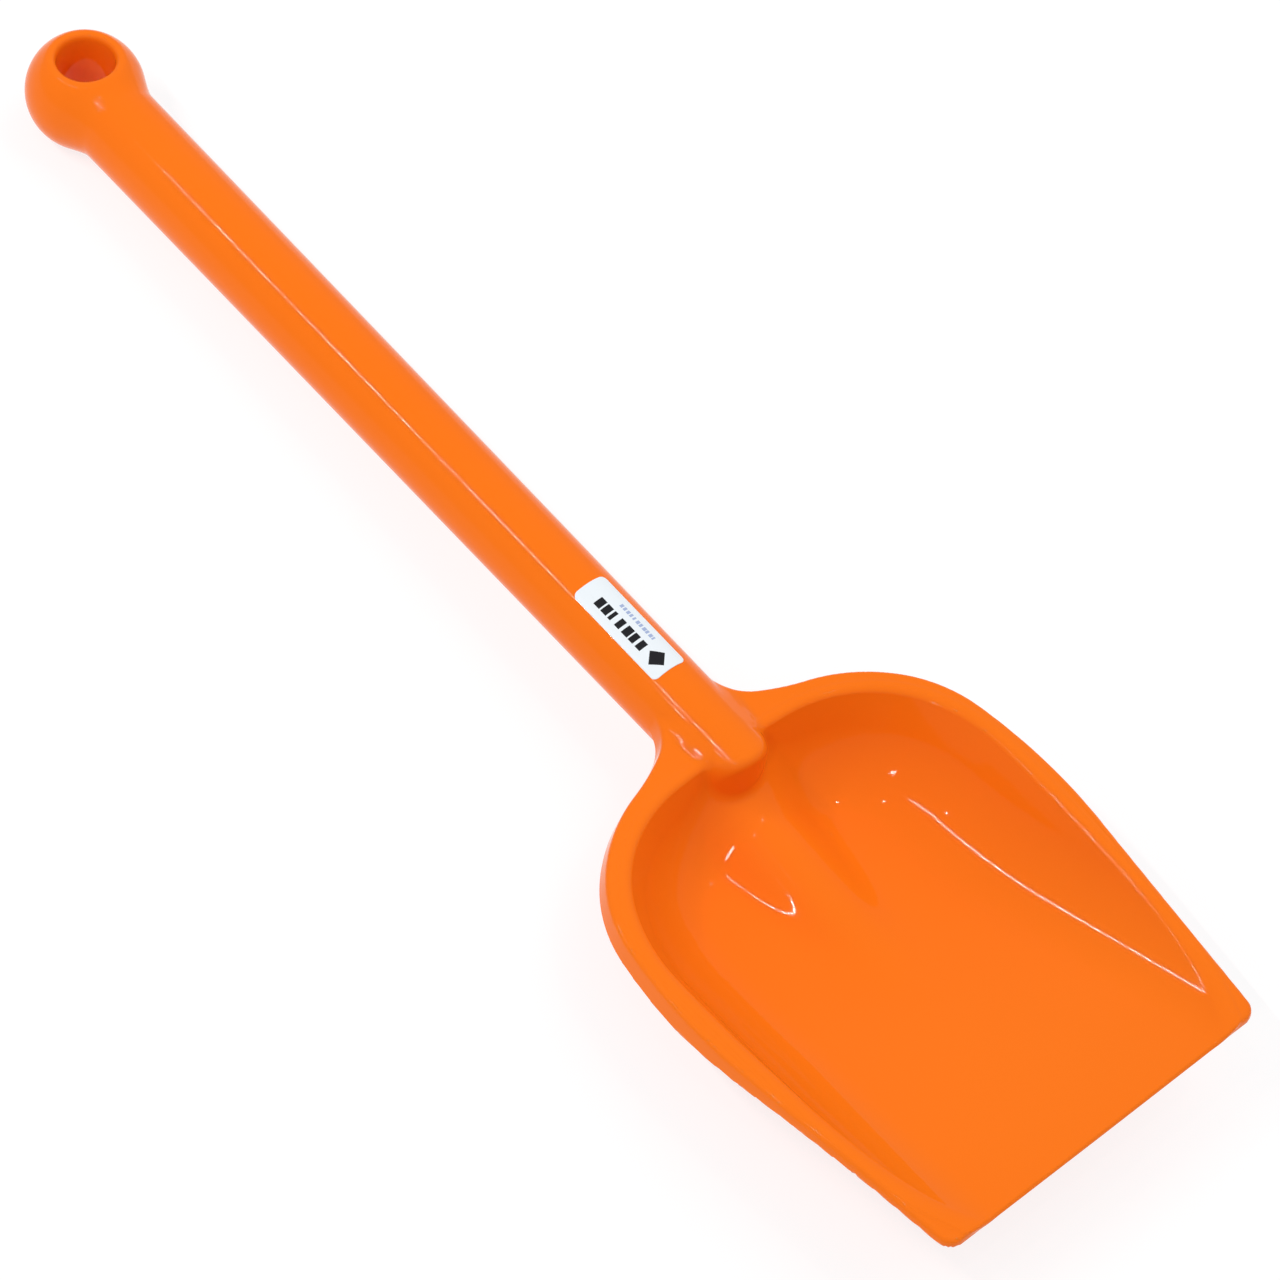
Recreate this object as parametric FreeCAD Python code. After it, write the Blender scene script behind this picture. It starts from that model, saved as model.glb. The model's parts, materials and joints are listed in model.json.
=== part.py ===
import FreeCAD, Part
import math
import os

V = FreeCAD.Vector

# A child's sand shovel: one plastic moulding (knob, round handle, neck, scoop) and a label.
# Working frame: X runs from the knob to the front edge, Z is up, Z = 0 is the top of the
# scoop's rim and X = 0 is the knob's centre. rest() moves the finished shapes to the pose
# in which the shovel lies on a floor.

# ---- driving dimensions, mm and degrees ----
OVERALL_LENGTH = 410.0
WALL = 2.4

KNOB_RADIUS = 16.2
KNOB_RISE = 1.0             # knob centre above the rim's top
KNOB_END = 17.0             # where the knob's fillet has run out into the handle
HANG_HOLE_RADIUS = 7.9
HANG_HOLE_LIP = 1.1
KNOB_FILLET = 3.0

HANDLE_RADIUS_REAR = 11.7   # at the knob's centre
HANDLE_RADIUS_FRONT = 10.3  # at the nose
HANDLE_PITCH = 1.43         # the axis falls towards the scoop

SCOOP_LENGTH = 132.0        # rear inner wall to front edge
SCOOP_HALF_WIDTH = 54.3     # inner wall, at the widest station
SCOOP_DEPTH = 23.8          # rim top to the lowest point of the floor
FLOOR_SLOPE = 15.5
FLOOR_BEND = 170.0          # radius between the sloping and the level part of the floor
FLOOR_ROUND = 11.0          # floor to wall
FRONT_EDGE_DROP = 1.2       # floor at the front edge, below the rim's top
FRONT_EDGE_THICKNESS = 1.4
FRONT_BEVEL = 22.0          # length over which the floor thins to the front edge
FRONT_CORNER_RADIUS = 3.5
STANDING_FLAT = 0.12        # depth of the level flat on which the pan stands

RIM_WIDTH = 6.6             # outer edge to inner wall, at the widest station
LIP_DEPTH = 6.2             # turned-down edge, rear and sides
LIP_THICKNESS = 2.0
RIM_END = 88.0              # the separate rim stops this far in front of the rear wall

NOSE_LENGTH = 8.0           # how far the handle's end stands into the scoop
NOSE_EDGE = 2.0
NOSE_FOOT_STEP = 0.05       # the foot under the nose is this much narrower on each side
RIDGE_START = 6.0           # inside the nose
RIDGE_LENGTH = 58.0         # from the rear wall
RIDGE_CREST_REAR = -12.0
RIDGE_CREST_FRONT = 0.4     # above the floor
RIDGE_HALF_WIDTH = 10.0
RIDGE_TAPER = 0.97          # share of the squared half width that is lost at the front end
RIDGE_ROOT = 1.0            # how far the ridge's arc starts below the floor

LABEL_LENGTH = 31.3
LABEL_WIDTH = 10.2          # measured flat across the handle
LABEL_THICKNESS = 0.2
LABEL_CORNER = 1.4
LABEL_GAP = 1.6             # bare handle between the label and the neck

# ---- places worked out from them ----
FRONT_X = OVERALL_LENGTH - KNOB_RADIUS
REAR_X = FRONT_X - SCOOP_LENGTH
NOSE_X = REAR_X + NOSE_LENGTH
NECK_X = REAR_X - 22.5      # the handle ends and the flared neck begins

# ---- overshoots and tolerances for the construction ----
BEYOND = 24.0               # how far cutting shapes overshoot along X
WALL_BEYOND = 8.0           # how far the wall's loft overshoots up and down
SPAN = 100.0                # reach of cutting shapes across and up, past the whole shovel
NEAR = 0.5                  # tolerance for picking edges by their place
MESH_STEP = 0.05            # fineness of the meshes that find the lowest points

# Inner wall of the scoop, as (fraction of length from the rear wall, fraction of half
# width, lean of the wall from upright).
INNER_STATIONS = [
    (0.000, 0.000, 18.0),
    (0.004, 0.320, 19.0),
    (0.033, 0.600, 23.0),
    (0.094, 0.805, 27.0),
    (0.180, 0.936, 30.0),
    (0.341, 1.000, 31.0),
    (0.568, 0.972, 31.0),
    (1.000, 0.902, 31.0),
]

# Outer edge of the rim, as fractions of the scoop's length and of the rim's half width. The
# side is straight from the last but one station to the front corner.
OUTER_STATIONS = [
    (-0.166, 0.148),
    (-0.125, 0.164),
    (-0.096, 0.200),
    (-0.067, 0.283),
    (-0.031, 0.473),
    (0.008, 0.660),
    (0.067, 0.814),
    (0.145, 0.921),
    (0.250, 0.982),
    (0.371, 1.000),
    (0.490, 0.986),
    (0.605, 0.962),
    (1.000, 0.852),
]

# Distances from the rear wall at which the floor's curve is pinned to floor_height().
FLOOR_RUNS = [0.0, 26.0, 50.0, 80.0]

# Depth of the lip's lower edge, as (fraction of the scoop's length, share of LIP_DEPTH).
LIP_STATIONS = [
    (-0.35, 1.00),
    (0.36, 1.00),
    (0.65, 0.55),
    (1.18, 0.19),
]


def curve_through(points, start_direction, end_direction):
    """Smooth curve through the points, paced by distance, with given end directions."""
    paces = [0.0]
    for before, after in zip(points, points[1:]):
        paces.append(paces[-1] + before.distanceToPoint(after))
    curve = Part.BSplineCurve()
    curve.interpolate(Points=points, Parameters=paces, InitialTangent=start_direction,
                      FinalTangent=end_direction, Scale=False)
    return curve


def closed_outline(half):
    """Closed outline in the XY plane from the edges of its +Y half, listed rear to front."""
    mirrored = [edge.mirror(V(0, 0, 0), V(0, 1, 0)) for edge in half]
    first, last = half[0].firstVertex().Point, half[-1].lastVertex().Point
    joins = [Part.makeLine(last, V(last.x, -last.y, last.z))]
    if first.y > 0:
        joins.append(Part.makeLine(V(first.x, -first.y, first.z), first))
    return Part.Wire(Part.__sortEdges__(half + mirrored + joins))


def inner_wall(z, grow):
    """The +Y half of the scoop's inner wall at height z, moved outwards by grow."""
    flat = [V(REAR_X + f * SCOOP_LENGTH, g * SCOOP_HALF_WIDTH, 0) for f, g, _ in INNER_STATIONS]
    guide = curve_through(flat, V(0, 1, 0), (flat[-1] - flat[-2]).normalize())
    moved = []
    for point, (_, _, lean) in zip(flat, INNER_STATIONS):
        along = guide.tangent(guide.parameter(point))[0]
        outward = V(-along.y, along.x, 0)
        lean = math.radians(lean)
        moved.append(point + outward * (z * math.tan(lean) + grow / math.cos(lean)) + V(0, 0, z))
    moved[0].y = 0
    tail = (moved[-1] - moved[-2]).normalize()
    curve = curve_through(moved, V(0, 1, 0), tail).toShape()
    return [curve, Part.makeLine(moved[-1], moved[-1] + tail * BEYOND)]


def floor_height(x):
    """Inner floor on the centre line: an even slope that rounds out towards the rear."""
    slope = math.radians(FLOOR_SLOPE)
    run = SCOOP_DEPTH - FRONT_EDGE_DROP
    bend_x = FRONT_X - (run - FLOOR_BEND * (1 - math.cos(slope))) / math.tan(slope)
    level_x = bend_x - FLOOR_BEND * math.sin(slope)
    if x >= bend_x:
        return -FRONT_EDGE_DROP - (FRONT_X - x) * math.tan(slope)
    if x <= level_x:
        return -SCOOP_DEPTH
    return -SCOOP_DEPTH + FLOOR_BEND - math.sqrt(FLOOR_BEND ** 2 - (x - level_x) ** 2)


def above_floor(drop):
    """Block above the floor surface lowered by drop."""
    stations = [REAR_X - BEYOND] + [REAR_X + run for run in FLOOR_RUNS] + [FRONT_X, FRONT_X + BEYOND]
    points = [V(x, 0, floor_height(x) - drop) for x in stations]
    slope = math.radians(FLOOR_SLOPE)
    floor = curve_through(points, V(1, 0, 0), V(math.cos(slope), 0, math.sin(slope)))
    corner_a = V(stations[-1], 0, SPAN)
    corner_b = V(stations[0], 0, SPAN)
    wire = Part.Wire([
        floor.toShape(),
        Part.makeLine(points[-1], corner_a),
        Part.makeLine(corner_a, corner_b),
        Part.makeLine(corner_b, points[0]),
    ])
    wire.translate(V(0, -SPAN, 0))
    return Part.Face(wire).extrude(V(0, 2 * SPAN, 0))


def pan_form(grow):
    """Solid form of the scoop's inside, grown outwards and downwards by grow."""
    heights = [WALL_BEYOND, -SCOOP_DEPTH - WALL_BEYOND]
    wires = [closed_outline(inner_wall(z, grow)) for z in heights]
    walls = Part.makeLoft(wires, True, True)
    form = walls.common(above_floor(grow))
    edges = []
    for edge in form.Edges:
        middle = edge.valueAt((edge.FirstParameter + edge.LastParameter) / 2)
        on_floor = abs(middle.z - (floor_height(middle.x) - grow)) < NEAR
        if on_floor and middle.x < FRONT_X and abs(middle.y) > NEAR:
            edges.append(edge)
    return form.makeFillet(FLOOR_ROUND + grow, edges)


def front_bevel():
    """Wedge under the front edge that thins the floor to the edge's thickness."""
    start_x = FRONT_X - FRONT_BEVEL
    start_z = floor_height(start_x) - WALL / math.cos(math.radians(FLOOR_SLOPE))
    edge_z = -FRONT_EDGE_DROP - FRONT_EDGE_THICKNESS
    wedge = Part.Face(Part.makePolygon([
        V(start_x, -SPAN, start_z),
        V(FRONT_X, -SPAN, edge_z),
        V(FRONT_X + BEYOND, -SPAN, edge_z),
        V(FRONT_X + BEYOND, -SPAN, -SPAN),
        V(start_x, -SPAN, -SPAN),
        V(start_x, -SPAN, start_z),
    ]))
    return wedge.extrude(V(0, 2 * SPAN, 0))


def block(x0, x1, half_width=SPAN, z0=-SPAN, z1=SPAN):
    """Box between two stations and two heights, centred across the shovel."""
    return Part.makeBox(x1 - x0, 2 * half_width, z1 - z0, V(x0, -half_width, z0))


def rim_outline(inset):
    """Outer edge of the rim, moved inwards by inset, with rounded front corners."""
    half = SCOOP_HALF_WIDTH + RIM_WIDTH
    flat = [V(REAR_X + f * SCOOP_LENGTH, g * half, 0) for f, g in OUTER_STATIONS]
    side = (flat[-1] - flat[-2]).normalize()
    guide = curve_through(flat[:-1], V(1, 0, 0), side)
    moved = []
    for point in flat[:-1]:
        along = guide.tangent(guide.parameter(point))[0]
        moved.append(point + V(along.y, -along.x, 0) * inset)
    corner = flat[-1] + V(side.y, -side.x, 0) * inset
    curve = curve_through(moved, V(1, 0, 0), side).toShape()
    if inset > 0:
        return closed_outline([curve, Part.makeLine(moved[-1], corner + side * BEYOND)])
    turn = math.pi / 2 + math.atan2(side.y, side.x)
    back_off = FRONT_CORNER_RADIUS * math.tan(turn / 2)
    leave = corner - side * back_off
    arrive = corner - V(0, back_off, 0)
    centre = leave + V(side.y, -side.x, 0) * FRONT_CORNER_RADIUS
    middle = centre + (corner - centre).normalize() * FRONT_CORNER_RADIUS
    return closed_outline([
        curve,
        Part.makeLine(moved[-1], leave),
        Part.Arc(leave, middle, arrive).toShape(),
    ])


def rim_form(inset, top):
    """Everything below a height, as wide as the rim's outer edge less inset."""
    slab = Part.Face(rim_outline(inset)).extrude(V(0, 0, -SPAN))
    return slab.translated(V(0, 0, top))


def lip_limit():
    """Block above the lip's lower edge, which rises towards the front corners."""
    lower = [V(REAR_X + f * SCOOP_LENGTH, -SPAN, -g * LIP_DEPTH) for f, g in LIP_STATIONS]
    upper = [V(lower[-1].x, -SPAN, LIP_DEPTH), V(lower[0].x, -SPAN, LIP_DEPTH)]
    face = Part.Face(Part.makePolygon(lower + upper + [lower[0]]))
    return face.extrude(V(0, 2 * SPAN, 0))


def handle_form(x0, x1, grow=0.0):
    """Tapered round bar along the handle's axis, between two distances from the knob's centre."""
    pitch = math.radians(HANDLE_PITCH)
    along = V(math.cos(pitch), 0, -math.sin(pitch))
    taper = (HANDLE_RADIUS_REAR - HANDLE_RADIUS_FRONT) / NOSE_X
    start = V(0, 0, KNOB_RISE) + along * x0
    return Part.makeCone(
        HANDLE_RADIUS_REAR - taper * x0 + grow,
        HANDLE_RADIUS_REAR - taper * x1 + grow,
        x1 - x0, start, along)


def revolved(chain, axis):
    """Solid turned about an axis from a closed chain: pairs are lines, triples are arcs."""
    edges = []
    for piece in chain:
        if len(piece) == 3:
            edges.append(Part.Arc(*piece).toShape())
        else:
            edges.append(Part.makeLine(*piece))
    return Part.Face(Part.Wire(edges)).revolve(V(0, 0, 0), axis, 360)


def knob_and_root():
    """Ball that runs through a fillet into the handle, turned about the handle's axis."""
    taper = (HANDLE_RADIUS_REAR - HANDLE_RADIUS_FRONT) / NOSE_X
    end_radius = HANDLE_RADIUS_REAR - taper * KNOB_END
    tube = KNOB_FILLET
    tube_out = end_radius + tube
    tube_along = math.sqrt((KNOB_RADIUS + tube) ** 2 - tube_out ** 2)
    share = KNOB_RADIUS / (KNOB_RADIUS + tube)
    on_ball = V(tube_along * share, 0, tube_out * share)
    on_handle = V(tube_along, 0, end_radius)
    half_turn = (math.atan2(tube_out, tube_along) + math.pi / 2) / 2
    in_fillet = V(tube_along - tube * math.cos(half_turn), 0, tube_out - tube * math.sin(half_turn))
    ball_turn = (math.pi + math.atan2(on_ball.z, on_ball.x)) / 2
    back = V(-KNOB_RADIUS, 0, 0)
    on_back = V(KNOB_RADIUS * math.cos(ball_turn), 0, KNOB_RADIUS * math.sin(ball_turn))
    end_rim = V(KNOB_END, 0, end_radius)
    end_middle = V(KNOB_END, 0, 0)
    body = revolved([
        (back, on_back, on_ball),
        (on_ball, in_fillet, on_handle),
        (on_handle, end_rim),
        (end_rim, end_middle),
        (end_middle, back),
    ], V(1, 0, 0))
    body.rotate(V(0, 0, 0), V(0, 1, 0), HANDLE_PITCH)
    return body.translated(V(0, 0, KNOB_RISE))


def hanging_hole():
    """Round hole with rounded mouths, as the solid that is taken out of the knob."""
    lip_out = HANG_HOLE_RADIUS + HANG_HOLE_LIP
    lip_up = math.sqrt((KNOB_RADIUS - HANG_HOLE_LIP) ** 2 - lip_out ** 2)
    share = KNOB_RADIUS / (KNOB_RADIUS - HANG_HOLE_LIP)
    mouth = V(lip_out * share, 0, lip_up * share)
    turn = (math.pi + math.atan2(lip_up, lip_out)) / 2
    in_lip = V(lip_out + HANG_HOLE_LIP * math.cos(turn), 0, lip_up + HANG_HOLE_LIP * math.sin(turn))
    throat = V(HANG_HOLE_RADIUS, 0, lip_up)
    above = V(mouth.x, 0, KNOB_RADIUS * 2)

    def below(point):
        return V(point.x, 0, -point.z)

    top = V(0, 0, above.z)
    tool = revolved([
        (top, above),
        (above, mouth),
        (mouth, in_lip, throat),
        (throat, below(throat)),
        (below(throat), below(in_lip), below(mouth)),
        (below(mouth), below(above)),
        (below(above), below(top)),
        (below(top), top),
    ], V(0, 0, 1))
    return tool.translated(V(0, 0, KNOB_RISE))


def end_knob():
    """Ball at the handle's end with a hanging hole through it."""
    return knob_and_root().cut(hanging_hole())


def ridge():
    """Rounded ridge from the nose down to the scoop's floor, narrowing as it goes."""
    sections = []
    for share in (0.0, 0.25, 0.5, 0.75, 1.0):
        x = REAR_X + RIDGE_START + share * (RIDGE_LENGTH - RIDGE_START)
        floor = floor_height(x)
        half = RIDGE_HALF_WIDTH * math.sqrt(1 - RIDGE_TAPER * share ** 2)
        crest = RIDGE_CREST_REAR + share * (floor + RIDGE_CREST_FRONT - RIDGE_CREST_REAR)
        left, right = V(x, -half, floor - RIDGE_ROOT), V(x, half, floor - RIDGE_ROOT)
        left_foot, right_foot = left - V(0, 0, BEYOND), right - V(0, 0, BEYOND)
        sections.append(Part.Wire([
            Part.Arc(left, V(x, 0, crest), right).toShape(),
            Part.makeLine(right, right_foot),
            Part.makeLine(right_foot, left_foot),
            Part.makeLine(left_foot, left),
        ]))
    return Part.makeLoft(sections, True, False)


def neck(bar, cavity):
    """The handle's front end through the scoop's rear wall, its round nose and the ridge."""
    radius = HANDLE_RADIUS_FRONT
    bow_x = NOSE_X - radius
    bow = Part.makeCylinder(radius, 2 * SPAN, V(bow_x, 0, -SPAN))
    nose = bar.common(bow.fuse(block(NECK_X - BEYOND, bow_x)))
    tip = [e for e in nose.Edges if e.BoundBox.XMax > NOSE_X - NEAR and e.BoundBox.YLength > radius / 2]
    nose = nose.makeFillet(NOSE_EDGE, tip)
    # Below its widest level the nose stands straight down on the scoop's rear wall.
    axis_z = KNOB_RISE - NOSE_X * math.tan(math.radians(HANDLE_PITCH))
    foot_radius = radius - NOSE_FOOT_STEP
    foot = Part.makeCylinder(foot_radius, 2 * SPAN, V(bow_x, 0, -SPAN))
    foot = foot.fuse(block(REAR_X - WALL, bow_x, foot_radius))
    foot = foot.common(block(REAR_X - WALL, NOSE_X, radius, -SPAN, axis_z)).common(cavity)
    return nose.fuse([foot, ridge().common(cavity)]).removeSplitter()


def label():
    """Thin film bent over the top of the handle, with rounded corners."""
    x1 = NECK_X - LABEL_GAP
    x0 = x1 - LABEL_LENGTH
    tablet = block(x0, x1, LABEL_WIDTH / 2, 0.0, SPAN)
    upright = [e for e in tablet.Edges if e.BoundBox.ZLength > SPAN / 2]
    tablet = tablet.makeFillet(LABEL_CORNER, upright)
    ends = (x0 - BEYOND, x1 + BEYOND)
    skin = handle_form(*ends, LABEL_THICKNESS).cut(handle_form(*ends))
    return skin.common(tablet)


def rest_lean(knob, pan):
    """Angle by which the handle end drops until knob and scoop stand on one level floor."""
    lean = 0.0
    for _ in range(12):
        lowest = []
        for shape, flat in ((knob, 0.0), (pan, STANDING_FLAT)):
            turned = shape.rotated(V(0, 0, 0), V(0, 1, 0), -lean)
            points = turned.tessellate(MESH_STEP)[0]
            lowest.append(min(points, key=lambda p: p.z) + V(0, 0, flat))
        lean += math.degrees(math.atan2(lowest[0].z - lowest[1].z, lowest[1].x - lowest[0].x))
    return lean


def build():
    """Every named solid in the working frame."""
    cavity = pan_form(0.0)
    outside = pan_form(WALL)
    handle_end = handle_form(NECK_X, NOSE_X + RIDGE_START)
    neck_shape = neck(handle_end, cavity)

    below_rim = block(NECK_X - BEYOND, FRONT_X, z1=0.0)
    shell = outside.common(below_rim).cut(cavity).cut(front_bevel())
    outline = rim_form(0.0, 0.0)
    channel = rim_form(LIP_THICKNESS, -WALL)
    band = outline.common(lip_limit()).cut(channel).cut(outside)

    # In front of RIM_END the rim is too narrow to stand alone and belongs to the pan.
    rim_end_x = REAR_X + RIM_END
    front_zone = block(rim_end_x, FRONT_X + BEYOND)
    pan = shell.fuse(band.common(front_zone)).common(outline).cut(neck_shape)
    rims = band.cut(front_zone).cut(handle_end)
    right, left = sorted(rims.Solids, key=lambda solid: solid.CenterOfMass.y)
    return {
        "end_knob": end_knob(),
        "handle": handle_form(KNOB_END, NECK_X),
        "neck": neck_shape,
        "scoop_pan": pan,
        "scoop_rim_left": left,
        "scoop_rim_right": right,
        "label": label(),
    }


def rest(parts):
    """Lean the shovel onto its knob and scoop and put the origin under its middle."""
    lean = rest_lean(parts["end_knob"], parts["scoop_pan"])
    turned = {name: shape.rotated(V(0, 0, 0), V(0, 1, 0), -lean) for name, shape in parts.items()}
    points = [p for shape in turned.values() for p in shape.tessellate(MESH_STEP)[0]]
    middle = (min(p.x for p in points) + max(p.x for p in points)) / 2
    bottom = min(p.z for p in turned["end_knob"].tessellate(MESH_STEP)[0])
    turned["scoop_pan"] = turned["scoop_pan"].cut(block(NECK_X, FRONT_X, z1=bottom))
    return {name: shape.translated(V(-middle, 0, -bottom)) for name, shape in turned.items()}


if __name__ == "__main__":
    os.makedirs("parts", exist_ok=True)
    for name, shape in rest(build()).items():
        shape.Solids[0].exportStep("parts/%s.step" % name)
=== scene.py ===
import json
import math

import bpy
import numpy as np
from mathutils import Matrix, Vector


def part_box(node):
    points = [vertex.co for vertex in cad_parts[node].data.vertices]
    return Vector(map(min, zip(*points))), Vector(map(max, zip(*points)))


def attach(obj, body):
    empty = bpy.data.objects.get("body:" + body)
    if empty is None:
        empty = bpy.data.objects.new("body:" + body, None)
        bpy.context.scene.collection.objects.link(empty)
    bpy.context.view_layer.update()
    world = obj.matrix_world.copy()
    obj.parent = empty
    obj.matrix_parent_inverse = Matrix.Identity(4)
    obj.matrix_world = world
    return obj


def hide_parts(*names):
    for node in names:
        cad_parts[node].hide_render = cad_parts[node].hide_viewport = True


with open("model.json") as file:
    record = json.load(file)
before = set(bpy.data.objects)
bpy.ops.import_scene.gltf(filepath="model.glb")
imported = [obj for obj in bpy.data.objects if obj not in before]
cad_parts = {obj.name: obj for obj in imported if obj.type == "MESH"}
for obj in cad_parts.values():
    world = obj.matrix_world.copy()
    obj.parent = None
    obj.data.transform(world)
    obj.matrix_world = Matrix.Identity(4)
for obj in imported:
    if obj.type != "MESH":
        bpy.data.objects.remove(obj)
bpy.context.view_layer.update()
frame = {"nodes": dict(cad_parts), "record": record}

# The moulding is described in the CAD's working frame, in mm: X runs from the knob to the
# front edge, Z = 0 is the top of the rim, X = 0 is the knob's centre. The hanging hole's
# mount says where that frame lies in the row frame, and how far the shovel leans.
MM = 0.001
KNOB_RISE = 1.0
hole = next(mount for mount in frame["record"]["mounts"] if mount["name"] == "hang_hole")
up_axis = Vector(hole["axis"]).normalized()
long_axis = Vector((up_axis.z, 0, -up_axis.x))
WORK_TO_ROW = Matrix.Translation(Vector(hole["pos_m"])) @ Matrix((
    (long_axis.x, 0, up_axis.x, 0),
    (0, 1, 0, 0),
    (long_axis.z, 0, up_axis.z, 0),
    (0, 0, 0, 1),
)) @ Matrix.Scale(MM, 4) @ Matrix.Translation((0, 0, -KNOB_RISE))
ROW_TO_WORK = WORK_TO_ROW.inverted()

# ---- sizes of the moulding, mm and degrees ----
KNOB_RADIUS = 16.2
KNOB_FILLET = 3.0
HOLE_RADIUS = 7.9
HOLE_LIP = 3.0              # rounding of the hole's upper mouth
HOLE_LIP_UNDER = 1.1        # and of its lower one
HANDLE_RADIUS_REAR = 11.7
HANDLE_RADIUS_FRONT = 10.3
HANDLE_PITCH = math.radians(1.43)
FRONT_X = (ROW_TO_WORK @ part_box("scoop_pan")[1]).x
SCOOP_LENGTH = 132.0
REAR_X = FRONT_X - SCOOP_LENGTH
NOSE_X = REAR_X + 8.0
SCOOP_DEPTH = 23.8
FLOOR_SLOPE = math.radians(15.5)
FLOOR_BEND = 170.0
FLOOR_ROUND = 11.0
FRONT_DROP = 1.2
FRONT_CORNER = 3.5
FRONT_BEVEL = 22.0          # length over which the floor thins to the front edge
NOSE_EDGE = 2.2
NOSE_FILLET = 1.4
NECK_FILLET = 2.0           # added to the nose's fillet behind the scoop
RIDGE_START = 11.4
RIDGE_CREST = -13.8
RIDGE_FALL = 0.165          # how far the ridge's crest drops per mm
RIDGE_SHARPNESS = 0.045     # drop per square mm away from the crest
RIDGE_FOOT = 5.0            # how softly the ridge runs out into the floor
WALL = 2.4
WALL_FRONT = 1.3
WALL_LEAN_REAR = 18.0       # lean of the scoop's wall from upright
WALL_LEAN_SIDE = 31.0
NECK_FLANGE = 20.5          # the rim's flange starts this far behind the rear wall
RIM_EDGE = 1.2              # rounding of the rim's outer edge
RIM_INNER_EDGE = 1.6
LIP_STATIONS = (47.0, 86.0, SCOOP_LENGTH)   # distance from the rear wall
LIP_DEPTHS = (6.2, 3.4, 1.4)
LIP_THICKNESS = 2.0
LIP_DRAFT = 0.18            # how far the lip's outer face leans in per mm of depth


def smooth_union(a, b, radius):
    """Smaller of two distance fields, with a fillet of that radius in the inner corner."""
    dip = np.hypot(np.maximum(radius - a, 0), np.maximum(radius - b, 0))
    return np.maximum(radius, np.minimum(a, b)) - dip


def smooth_common(a, b, radius):
    """Larger of two distance fields, with the outer corner rounded to that radius."""
    return -smooth_union(-a, -b, radius)


class Outline:
    """Half of a symmetric outline: a chain of tangent arcs and a straight end."""

    def __init__(self, start, heading, turns):
        self.arcs = []
        x, y = start
        for radius, turn in turns:
            side = 1 if turn > 0 else -1
            turn = math.radians(turn)
            centre = (x - side * radius * math.sin(heading), y + side * radius * math.cos(heading))
            self.arcs.append((centre, radius, side, heading, abs(turn)))
            heading += turn
            x = centre[0] + side * radius * math.sin(heading)
            y = centre[1] - side * radius * math.cos(heading)
        self.end = (x, y)
        self.end_heading = heading

    def distance(self, x, y):
        """Distance from the outline, positive outside, and how far along it is."""
        best = np.full(x.shape, 1e9)
        signed = np.zeros(x.shape)
        along = np.zeros(x.shape)
        travelled = 0.0
        for (cx, cy), radius, side, heading, turn in self.arcs:
            start_angle = heading - side * math.pi / 2
            dx, dy = x - cx, y - cy
            swept = side * (np.arctan2(dy, dx) - start_angle)
            swept = (swept + math.pi) % (2 * math.pi) - math.pi
            swept = np.clip(swept, 0, turn)
            angle = start_angle + side * swept
            gap_x, gap_y = dx - radius * np.cos(angle), dy - radius * np.sin(angle)
            gap = np.hypot(gap_x, gap_y)
            left_x, left_y = -side * np.cos(angle), -side * np.sin(angle)
            sign = np.where(gap_x * left_x + gap_y * left_y >= 0, 1.0, -1.0)
            nearer = gap < best
            best = np.where(nearer, gap, best)
            signed = np.where(nearer, sign * gap, signed)
            along = np.where(nearer, travelled + radius * swept, along)
            travelled += radius * turn
        ux, uy = math.cos(self.end_heading), math.sin(self.end_heading)
        dx, dy = x - self.end[0], y - self.end[1]
        ahead = np.maximum(dx * ux + dy * uy, 0)
        gap_x, gap_y = dx - ahead * ux, dy - ahead * uy
        gap = np.hypot(gap_x, gap_y)
        nearer = gap < best
        signed = np.where(nearer, np.where(gap_y * ux - gap_x * uy >= 0, gap, -gap), signed)
        along = np.where(nearer, travelled + ahead, along)
        return signed, along


# Radius and turn of each arc, turning left for a positive angle.
INNER = Outline((REAR_X, 0.0), math.pi / 2, [
    (265, -4),
    (41, -28),
    (34, -30),
    (44, -28),
    (455, -3.8),
])
OUTER = Outline((REAR_X - 21.9, 9.01), 0.0, [
    (14.5, 61.5),
    (64, 11.5),
    (47, -28),
    (37.5, -35.5),
    (144, -17.5),
    (560, 0.7),
])


def eased(value, low, high):
    """0 below low, 1 above high, and a smooth step between them."""
    t = np.clip((value - low) / (high - low), 0, 1)
    return t * t * (3 - 2 * t)


def floor_height(x):
    """Inner floor on the centre line: an even slope that rounds out towards the rear."""
    run = SCOOP_DEPTH - FRONT_DROP
    level_x = FRONT_X - (run - FLOOR_BEND * (1 - math.cos(FLOOR_SLOPE))) / math.tan(FLOOR_SLOPE) \
        - FLOOR_BEND * math.sin(FLOOR_SLOPE)
    bend_x = level_x + FLOOR_BEND * math.sin(FLOOR_SLOPE)
    slope = -FRONT_DROP - (FRONT_X - x) * math.tan(FLOOR_SLOPE)
    arc = FLOOR_BEND - np.sqrt(np.maximum(FLOOR_BEND ** 2 - (x - level_x) ** 2, 1)) - SCOOP_DEPTH
    return np.where(x >= bend_x, slope, np.where(x <= level_x, -SCOOP_DEPTH, arc))


def ridge_height(x, y):
    """Height above the floor of the soft ridge that runs forwards from the nose."""
    ahead = np.maximum(x - REAR_X - RIDGE_START, 0)
    crest = RIDGE_CREST - ahead * RIDGE_FALL - y ** 2 * RIDGE_SHARPNESS
    rise = crest - floor_height(x)
    return (rise + np.hypot(rise, RIDGE_FOOT)) / 2


def handle_axis_height(x):
    return KNOB_RISE - x * math.tan(HANDLE_PITCH)


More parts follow.
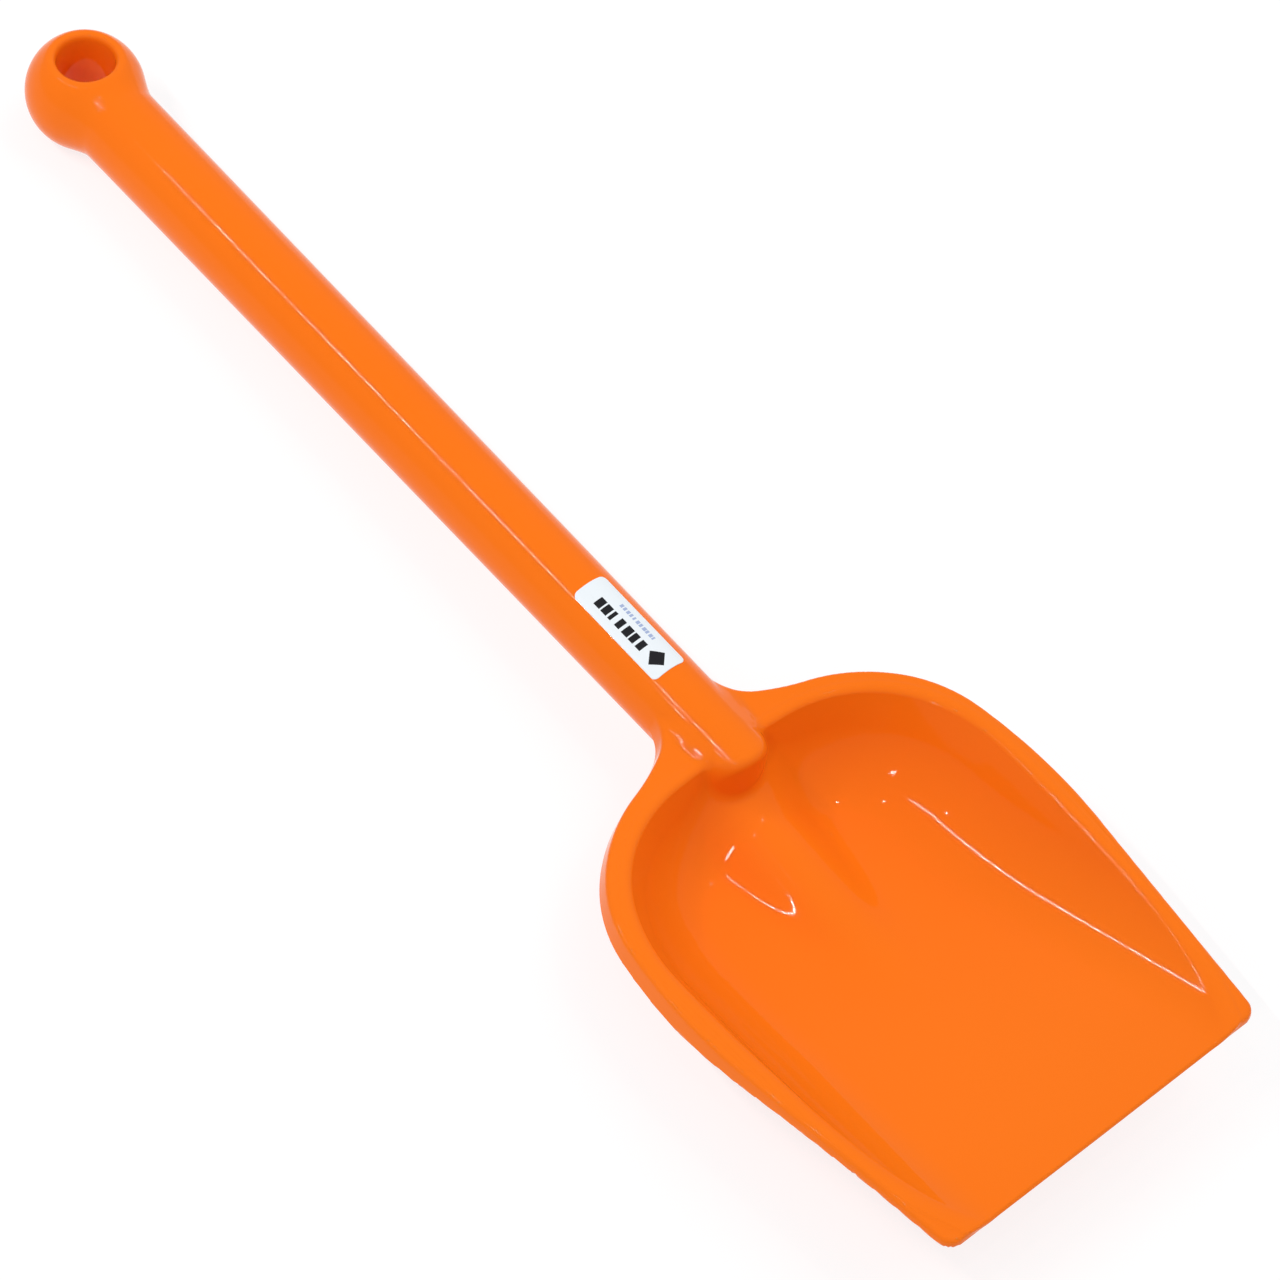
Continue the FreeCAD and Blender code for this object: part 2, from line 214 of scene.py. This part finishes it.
def handle_field(x, y, z):
    radius = HANDLE_RADIUS_REAR - (HANDLE_RADIUS_REAR - HANDLE_RADIUS_FRONT) * x / NOSE_X
    return np.hypot(y, (z - handle_axis_height(x)) * math.cos(HANDLE_PITCH)) - radius


def knob_field(x, y, z):
    """Ball, handle and the hanging hole."""
    bar = np.maximum(handle_field(x, y, z), -x)
    ball = np.sqrt(x ** 2 + y ** 2 + (z - KNOB_RISE) ** 2) - KNOB_RADIUS
    solid = smooth_union(ball, bar, KNOB_FILLET)
    lip = np.where(z > KNOB_RISE, HOLE_LIP, HOLE_LIP_UNDER)
    return smooth_common(solid, HOLE_RADIUS - np.hypot(x, y), lip)


def scoop_field(x, y, z):
    """Pan, rim, nose and ridge."""
    inner, along = INNER.distance(x, y)
    outer, _ = OUTER.distance(x, y)
    lean = np.radians(WALL_LEAN_REAR + (WALL_LEAN_SIDE - WALL_LEAN_REAR) * eased(along, 8, 75))
    wall = (inner - z * np.tan(lean)) * np.cos(lean)
    floor = (floor_height(x) - z) * math.cos(FLOOR_SLOPE)
    raised = (floor_height(x) + ridge_height(x, y) - z) * math.cos(FLOOR_SLOPE) * 0.8
    cavity = smooth_common(wall, raised, FLOOR_ROUND)
    hollow = smooth_common(wall, floor, FLOOR_ROUND)
    thick = WALL + (WALL_FRONT - WALL) * eased(x, FRONT_X - FRONT_BEVEL, FRONT_X)

    plan = smooth_common(outer, x - FRONT_X, FRONT_CORNER)
    lip_depth = np.interp(x - REAR_X, LIP_STATIONS, LIP_DEPTHS)
    under = np.minimum(-z - WALL, np.maximum(-z - lip_depth, -plan - LIP_THICKNESS))
    edge = (plan - np.maximum(-z - 1.0, 0) * LIP_DRAFT) * math.cos(math.atan(LIP_DRAFT))
    flange = smooth_common(smooth_common(edge, z, RIM_EDGE), under, 0.5)
    flange = np.maximum(flange, REAR_X - NECK_FLANGE - x)
    pan = smooth_common(smooth_common(hollow - thick, plan, 0.6), z, 0.6)
    body = smooth_union(flange, pan, 1.0)
    body = smooth_common(body, -cavity, RIM_INNER_EDGE)

    bar = handle_field(x, y, z)
    # Below its widest level the nose stands straight down on the scoop's rear wall.
    foot = np.maximum(y - HANDLE_RADIUS_FRONT, z - handle_axis_height(x))
    foot = np.maximum(foot, np.maximum(hollow - thick * 0.5, REAR_X - 4 - x))
    bow_centre = NOSE_X - HANDLE_RADIUS_FRONT
    # Behind the bow the nose widens into the whole handle.
    side = y - HANDLE_RADIUS_FRONT - 4 * eased(bow_centre - x, 0, 15)
    bow = np.where(x > bow_centre, np.hypot(x - bow_centre, y) - HANDLE_RADIUS_FRONT, side)
    nose = smooth_common(np.minimum(bar, foot), bow, NOSE_EDGE)
    neck = NECK_FILLET * (1 - eased(x, REAR_X - 2, REAR_X + 4))
    fillet = 0.1 + (NOSE_FILLET + neck) * eased(x, REAR_X - 20, REAR_X - 10)
    return smooth_union(body, nose, fillet)


SPLIT_X = REAR_X - 26.0      # the knob's field hands over to the scoop's on the plain handle


def moulding_field(x, y, z):
    """Signed distance to the moulding's surface, roughly in mm, for arrays of places."""
    y = np.abs(y)
    field = np.empty(x.shape)
    front = x > SPLIT_X
    field[~front] = knob_field(x[~front], y[~front], z[~front])
    field[front] = scoop_field(x[front], y[front], z[front])
    return field


def field_slope(points, step=0.01):
    """Gradient of the moulding's field at each point."""
    slope = np.empty(points.shape)
    for k in range(3):
        ahead, behind = points.copy(), points.copy()
        ahead[:, k] += step
        behind[:, k] -= step
        slope[:, k] = (moulding_field(*ahead.T) - moulding_field(*behind.T)) / (2 * step)
    return slope


def surface_net(xs, ys, zs, field):
    """Vertices and quads of the surface where the field on that grid changes sign."""
    inside = field < 0
    cells = tuple(n - 1 for n in field.shape)
    total = np.zeros(cells + (3,))
    count = np.zeros(cells)
    for axis, line in enumerate((xs, ys, zs)):
        low = [slice(None)] * 3
        high = [slice(None)] * 3
        low[axis], high[axis] = slice(None, -1), slice(1, None)
        a, b = field[tuple(low)], field[tuple(high)]
        crossing = inside[tuple(low)] != inside[tuple(high)]
        where = np.argwhere(crossing)
        t = a[crossing] / (a[crossing] - b[crossing])
        place = np.stack([xs[where[:, 0]], ys[where[:, 1]], zs[where[:, 2]]], axis=1)
        place[:, axis] += t * (line[where[:, axis] + 1] - line[where[:, axis]])
        others = [k for k in range(3) if k != axis]
        for first in (0, 1):
            for second in (0, 1):
                cell = where.copy()
                cell[:, others[0]] -= first
                cell[:, others[1]] -= second
                fits = np.all((cell >= 0) & (cell < np.array(cells)), axis=1)
                index = tuple(cell[fits].T)
                np.add.at(total, index, place[fits])
                np.add.at(count, index, 1)
    used = count > 0
    number = np.full(cells, -1)
    number[used] = np.arange(used.sum())
    vertices = total[used] / count[used][:, None]
    quads = []
    for axis in range(3):
        low = [slice(None)] * 3
        high = [slice(None)] * 3
        low[axis], high[axis] = slice(None, -1), slice(1, None)
        where = np.argwhere(inside[tuple(low)] != inside[tuple(high)])
        u, v = [k for k in range(3) if k != axis]
        if axis == 1:
            u, v = v, u
        ring = []
        for du, dv in ((-1, -1), (0, -1), (0, 0), (-1, 0)):
            cell = where.copy()
            cell[:, u] += du
            cell[:, v] += dv
            ring.append(number[tuple(cell.T)])
        ring = np.stack(ring, axis=1)
        outward = inside[tuple(low)][tuple(where.T)]
        ring[~outward] = ring[~outward][:, ::-1]
        quads.append(ring)
    return vertices, np.concatenate(quads)


def stretches(*pieces):
    """Grid line places from (start, end, spacing) stretches that follow each other."""
    places = []
    for start, end, spacing in pieces:
        places.append(np.linspace(start, end, max(2, round((end - start) / spacing) + 1)))
    return np.unique(np.round(np.concatenate(places), 6))


def make_moulding():
    """One seamless mesh of the whole plastic moulding."""
    cell = 0.8
    knob_end, neck_start = 22.0, SPLIT_X - 4
    xs = stretches(
        (-18.1, knob_end, cell),
        (knob_end, neck_start, 3 * cell),
        (neck_start, FRONT_X + 1.7, cell),
    )
    side = stretches((0.0, 63.0, cell))
    ys = np.concatenate([-side[:0:-1], side])
    zs = stretches((-29.0, 19.0, cell * 0.85))
    half = np.empty((len(xs), len(side), len(zs)))
    x, y, z = np.meshgrid(xs, side, zs, indexing="ij")
    for i in range(len(xs)):
        half[i] = moulding_field(x[i], y[i], z[i])
    field = np.concatenate([half[:, :0:-1], half], axis=1)
    vertices, quads = surface_net(xs, ys, zs, field)
    # A few steps downhill put each vertex on the surface itself.
    for _ in range(4):
        slope = field_slope(vertices)
        reach = moulding_field(*vertices.T) / np.maximum((slope ** 2).sum(1), 0.05)
        vertices -= slope * np.clip(reach, -0.4, 0.4)[:, None]
    normals = field_slope(vertices)
    normals /= np.maximum(np.linalg.norm(normals, axis=1), 1e-9)[:, None]

    turn = np.array(WORK_TO_ROW)
    placed = vertices @ turn[:3, :3].T + turn[:3, 3]
    turned = normals @ (turn[:3, :3] / MM).T
    mesh = bpy.data.meshes.new("moulding")
    mesh.from_pydata(placed.tolist(), [], quads.tolist())
    mesh.validate()
    mesh.shade_smooth()
    mesh.normals_split_custom_set_from_vertices(turned.tolist())
    piece = bpy.data.objects.new("moulding", mesh)
    bpy.context.scene.collection.objects.link(piece)
    return piece


# ---- materials ----
class Nodes:
    """Short way to add and join shader nodes in one material."""

    def __init__(self, name):
        self.material = bpy.data.materials.new(name)
        self.material.use_nodes = True
        self.tree = self.material.node_tree
        self.shader = self.tree.nodes["Principled BSDF"]

    def add(self, kind, settings=None, **inputs):
        node = self.tree.nodes.new(kind)
        for key, value in (settings or {}).items():
            setattr(node, key, value)
        for key, value in inputs.items():
            self.feed(node, key.replace("_", " "), value)
        return node

    def feed(self, node, socket, value):
        if isinstance(value, bpy.types.NodeSocket):
            self.tree.links.new(value, node.inputs[socket])
        else:
            node.inputs[socket].default_value = value

    def math(self, operation, a, b=0.0):
        node = self.add("ShaderNodeMath", {"operation": operation})
        self.feed(node, 0, a)
        self.feed(node, 1, b)
        return node.outputs["Value"]

    def share(self, value, low, high):
        """0 at low and 1 at high."""
        return self.math("DIVIDE", self.math("SUBTRACT", value, low), high - low)

    def between(self, value, low, high):
        above = self.math("GREATER_THAN", value, low)
        return self.math("MULTIPLY", above, self.math("LESS_THAN", value, high))

    def mix(self, factor, a, b):
        node = self.add("ShaderNodeMix", {"data_type": "RGBA"})
        self.feed(node, 0, factor)
        self.feed(node, 6, a)
        self.feed(node, 7, b)
        return node.outputs[2]

    def ramp(self, value, stops):
        node = self.add("ShaderNodeValToRGB", Fac=value)
        ramp = node.color_ramp
        while len(ramp.elements) < len(stops):
            ramp.elements.new(0.5)
        for element, (place, colour) in zip(ramp.elements, stops):
            element.position = place
            element.color = colour
        return node.outputs["Color"]


def orange_plastic():
    """Glossy moulded plastic: even colour, faint flow marks and a slightly wavy skin."""
    n = Nodes("orange_moulded_plastic")
    place = n.add("ShaderNodeTexCoord").outputs["Object"]
    flow = n.add("ShaderNodeTexNoise", Vector=place, Scale=9.0, Detail=3.0, Roughness=0.5)
    skin = n.add("ShaderNodeTexNoise", Vector=place, Scale=260.0, Detail=2.0, Roughness=0.5)
    haze = n.add("ShaderNodeTexNoise", Vector=place, Scale=60.0, Detail=4.0, Roughness=0.6)
    colour = n.ramp(flow.outputs["Fac"], [
        (0.30, (0.905, 0.170, 0.0060, 1)),
        (0.70, (0.925, 0.180, 0.0080, 1)),
    ])
    rough = n.add("ShaderNodeMapRange", Value=haze.outputs["Fac"])
    rough.inputs["To Min"].default_value = 0.04
    rough.inputs["To Max"].default_value = 0.06
    bump = n.add("ShaderNodeBump", Strength=0.02, Distance=0.0004, Height=skin.outputs["Fac"])
    n.feed(n.shader, "Base Color", colour)
    n.feed(n.shader, "Roughness", rough.outputs["Result"])
    n.feed(n.shader, "Normal", bump.outputs["Normal"])
    n.shader.inputs["IOR"].default_value = 1.22
    return n.material


FILM = (0.80, 0.85, 0.89, 1)
INK = (0.012, 0.012, 0.015, 1)
PALE_INK = (0.36, 0.44, 0.66, 1)


def bar_row(n, u, v, cells, first, last, low, high):
    """1 on a row of bars of unequal widths, given by cell number and by height on the label."""
    place = n.math("MULTIPLY", u, cells)
    width = n.add("ShaderNodeTexWhiteNoise", {"noise_dimensions": "1D"}, W=n.math("FLOOR", place))
    width = n.math("MULTIPLY_ADD", width.outputs["Value"], 0.45)
    width.node.inputs[2].default_value = 0.42
    bar = n.math("LESS_THAN", n.math("FRACT", place), width)
    row = n.math("MULTIPLY", n.between(v, low, high), n.between(u, first / cells, last / cells))
    return n.math("MULTIPLY", bar, row)


def label_film():
    """White film with a plain print: a bold and a pale row of bars and a diamond."""
    n = Nodes("label_film")
    low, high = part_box("label")
    place = n.add("ShaderNodeTexCoord").outputs["Object"]
    split = n.add("ShaderNodeSeparateXYZ", Vector=place)
    u = n.share(split.outputs["X"], low[0], high[0])
    v = n.share(split.outputs["Y"], low[1], high[1])
    bold = bar_row(n, u, v, 12, 2, 9, 0.22, 0.50)
    pale = bar_row(n, u, v, 26, 8, 19, 0.68, 0.80)
    reach_u = n.math("MULTIPLY", n.math("ABSOLUTE", n.math("SUBTRACT", u, 0.86)), high[0] - low[0])
    reach_v = n.math("MULTIPLY", n.math("ABSOLUTE", n.math("SUBTRACT", v, 0.42)), high[1] - low[1])
    diamond = n.math("LESS_THAN", n.math("ADD", reach_u, reach_v), 2.7 * MM)
    colour = n.mix(n.math("MAXIMUM", bold, diamond), FILM, INK)
    colour = n.mix(pale, colour, PALE_INK)
    grain = n.add("ShaderNodeTexNoise", Vector=place, Scale=900.0, Detail=2.0, Roughness=0.6)
    rough = n.add("ShaderNodeMapRange", Value=grain.outputs["Fac"])
    rough.inputs["To Min"].default_value = 0.28
    rough.inputs["To Max"].default_value = 0.40
    bump = n.add("ShaderNodeBump", Strength=0.05, Distance=0.0001, Height=grain.outputs["Fac"])
    n.feed(n.shader, "Base Color", colour)
    n.feed(n.shader, "Roughness", rough.outputs["Result"])
    n.feed(n.shader, "Normal", bump.outputs["Normal"])
    n.shader.inputs["IOR"].default_value = 1.3
    return n.material


# ---- light, floor and camera ----
def work_point(x, y, z):
    return WORK_TO_ROW @ Vector((x, y, z))


def area_light(name, place, target, size, power):
    lamp = bpy.data.lights.new(name, "AREA")
    lamp.shape = "RECTANGLE"
    lamp.size, lamp.size_y = size
    lamp.energy = power
    thing = bpy.data.objects.new(name, lamp)
    thing.location = place
    thing.rotation_euler = (target - place).to_track_quat("-Z", "Y").to_euler()
    bpy.context.scene.collection.objects.link(thing)
    return thing


def make_camera():
    """Camera at the photograph's viewing angle, given in the moulding's working frame."""
    azimuth, elevation, roll = (math.radians(a) for a in (39.465, 54.296, 11.484))
    distance, shift_x, shift_y = 1043.96, 17.74, -14.64
    back = Vector((math.sin(azimuth) * math.cos(elevation),
                   -math.cos(azimuth) * math.cos(elevation), math.sin(elevation)))
    level = Vector((math.cos(azimuth), math.sin(azimuth), 0))
    rise = back.cross(level)
    right = level * math.cos(roll) + rise * math.sin(roll)
    up = rise * math.cos(roll) - level * math.sin(roll)
    place = Vector((200, 0, 0)) + right * shift_x + up * shift_y + back * distance
    turn = WORK_TO_ROW.to_3x3().normalized()
    lens = bpy.data.cameras.new("camera")
    lens.lens = 36.0 * 4175.2 / 1280
    lens.sensor_width = 36.0
    thing = bpy.data.objects.new("camera", lens)
    basis = Matrix((turn @ right, turn @ up, turn @ back)).transposed()
    thing.matrix_world = Matrix.Translation(WORK_TO_ROW @ place) @ basis.to_4x4()
    bpy.context.scene.collection.objects.link(thing)
    bpy.context.scene.camera = thing
    return thing


def make_floor():
    """Pale floor. It glows a little, so that it stays pale in the shade."""
    mesh = bpy.data.meshes.new("floor")
    half = 6.0
    mesh.from_pydata([(-half, -half, 0), (half, -half, 0), (half, half, 0), (-half, half, 0)],
                     [], [(0, 1, 2, 3)])
    floor = bpy.data.objects.new("floor", mesh)
    floor.location.z = -0.0002
    bpy.context.scene.collection.objects.link(floor)
    n = Nodes("pale_floor")
    grain = n.add("ShaderNodeTexNoise", Scale=30.0, Detail=2.0)
    colour = n.ramp(grain.outputs["Fac"], [
        (0.3, (0.350, 0.240, 0.225, 1)),
        (0.7, (0.360, 0.250, 0.235, 1)),
    ])
    n.feed(n.shader, "Base Color", colour)
    # The glow makes up the floor's warm tint to white, and its shade beside orange to grey.
    n.shader.inputs["Emission Color"].default_value = (0.214, 0.249, 0.255, 1)
    n.shader.inputs["Emission Strength"].default_value = 3.1
    n.shader.inputs["Roughness"].default_value = 0.9
    n.shader.inputs["Specular IOR Level"].default_value = 0.0
    floor.data.materials.append(n.material)


def make_lights():
    """Even light from all round, a large softbox, a long strip light and four small lights."""
    world = bpy.data.worlds.new("studio")
    world.use_nodes = True
    background = world.node_tree.nodes["Background"]
    background.inputs["Color"].default_value = (1, 1, 1, 1)
    background.inputs["Strength"].default_value = 0.52
    bpy.context.scene.world = world
    # The strip runs along the shovel, level with the camera, and draws the handle's thin line.
    area_light("strip", work_point(-125, -455, 822), work_point(-125, 0, 0), (0.65, 0.008), 3.0)
    middle = work_point(200, 0, 0)
    turn = WORK_TO_ROW.to_3x3().normalized()
    for name, direction, distance, size, power in (
        ("softbox", (0.10, 0.60, 0.80), 1.8, 1.6, 11.5),
        ("spot_high", (0.34, -0.66, 0.68), 1.3, 0.09, 1.5),
        ("spot_over", (0.05, -0.28, 0.96), 1.3, 0.03, 0.40),
        ("spot_rear", (0.24, 0.30, 0.92), 1.3, 0.03, 0.45),
        ("spot_pan", (-0.26, -0.62, 0.74), 1.3, 0.03, 0.45),
    ):
        place = middle + turn @ Vector(direction).normalized() * distance
        lamp = area_light(name, place, middle, (size, size), power)
        # The softbox lights the plastic but isn't mirrored in it.
        lamp.visible_glossy = name != "softbox"


make_camera()
make_lights()
make_floor()

moulding = make_moulding()
moulding.data.materials.append(orange_plastic())
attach(moulding, "root")
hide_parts("end_knob", "handle", "neck", "scoop_pan", "scoop_rim_left", "scoop_rim_right")

label = frame["nodes"]["label"]
label.data.materials.clear()
label.data.materials.append(label_film())

view = bpy.context.scene.view_settings
view.view_transform = "Standard"
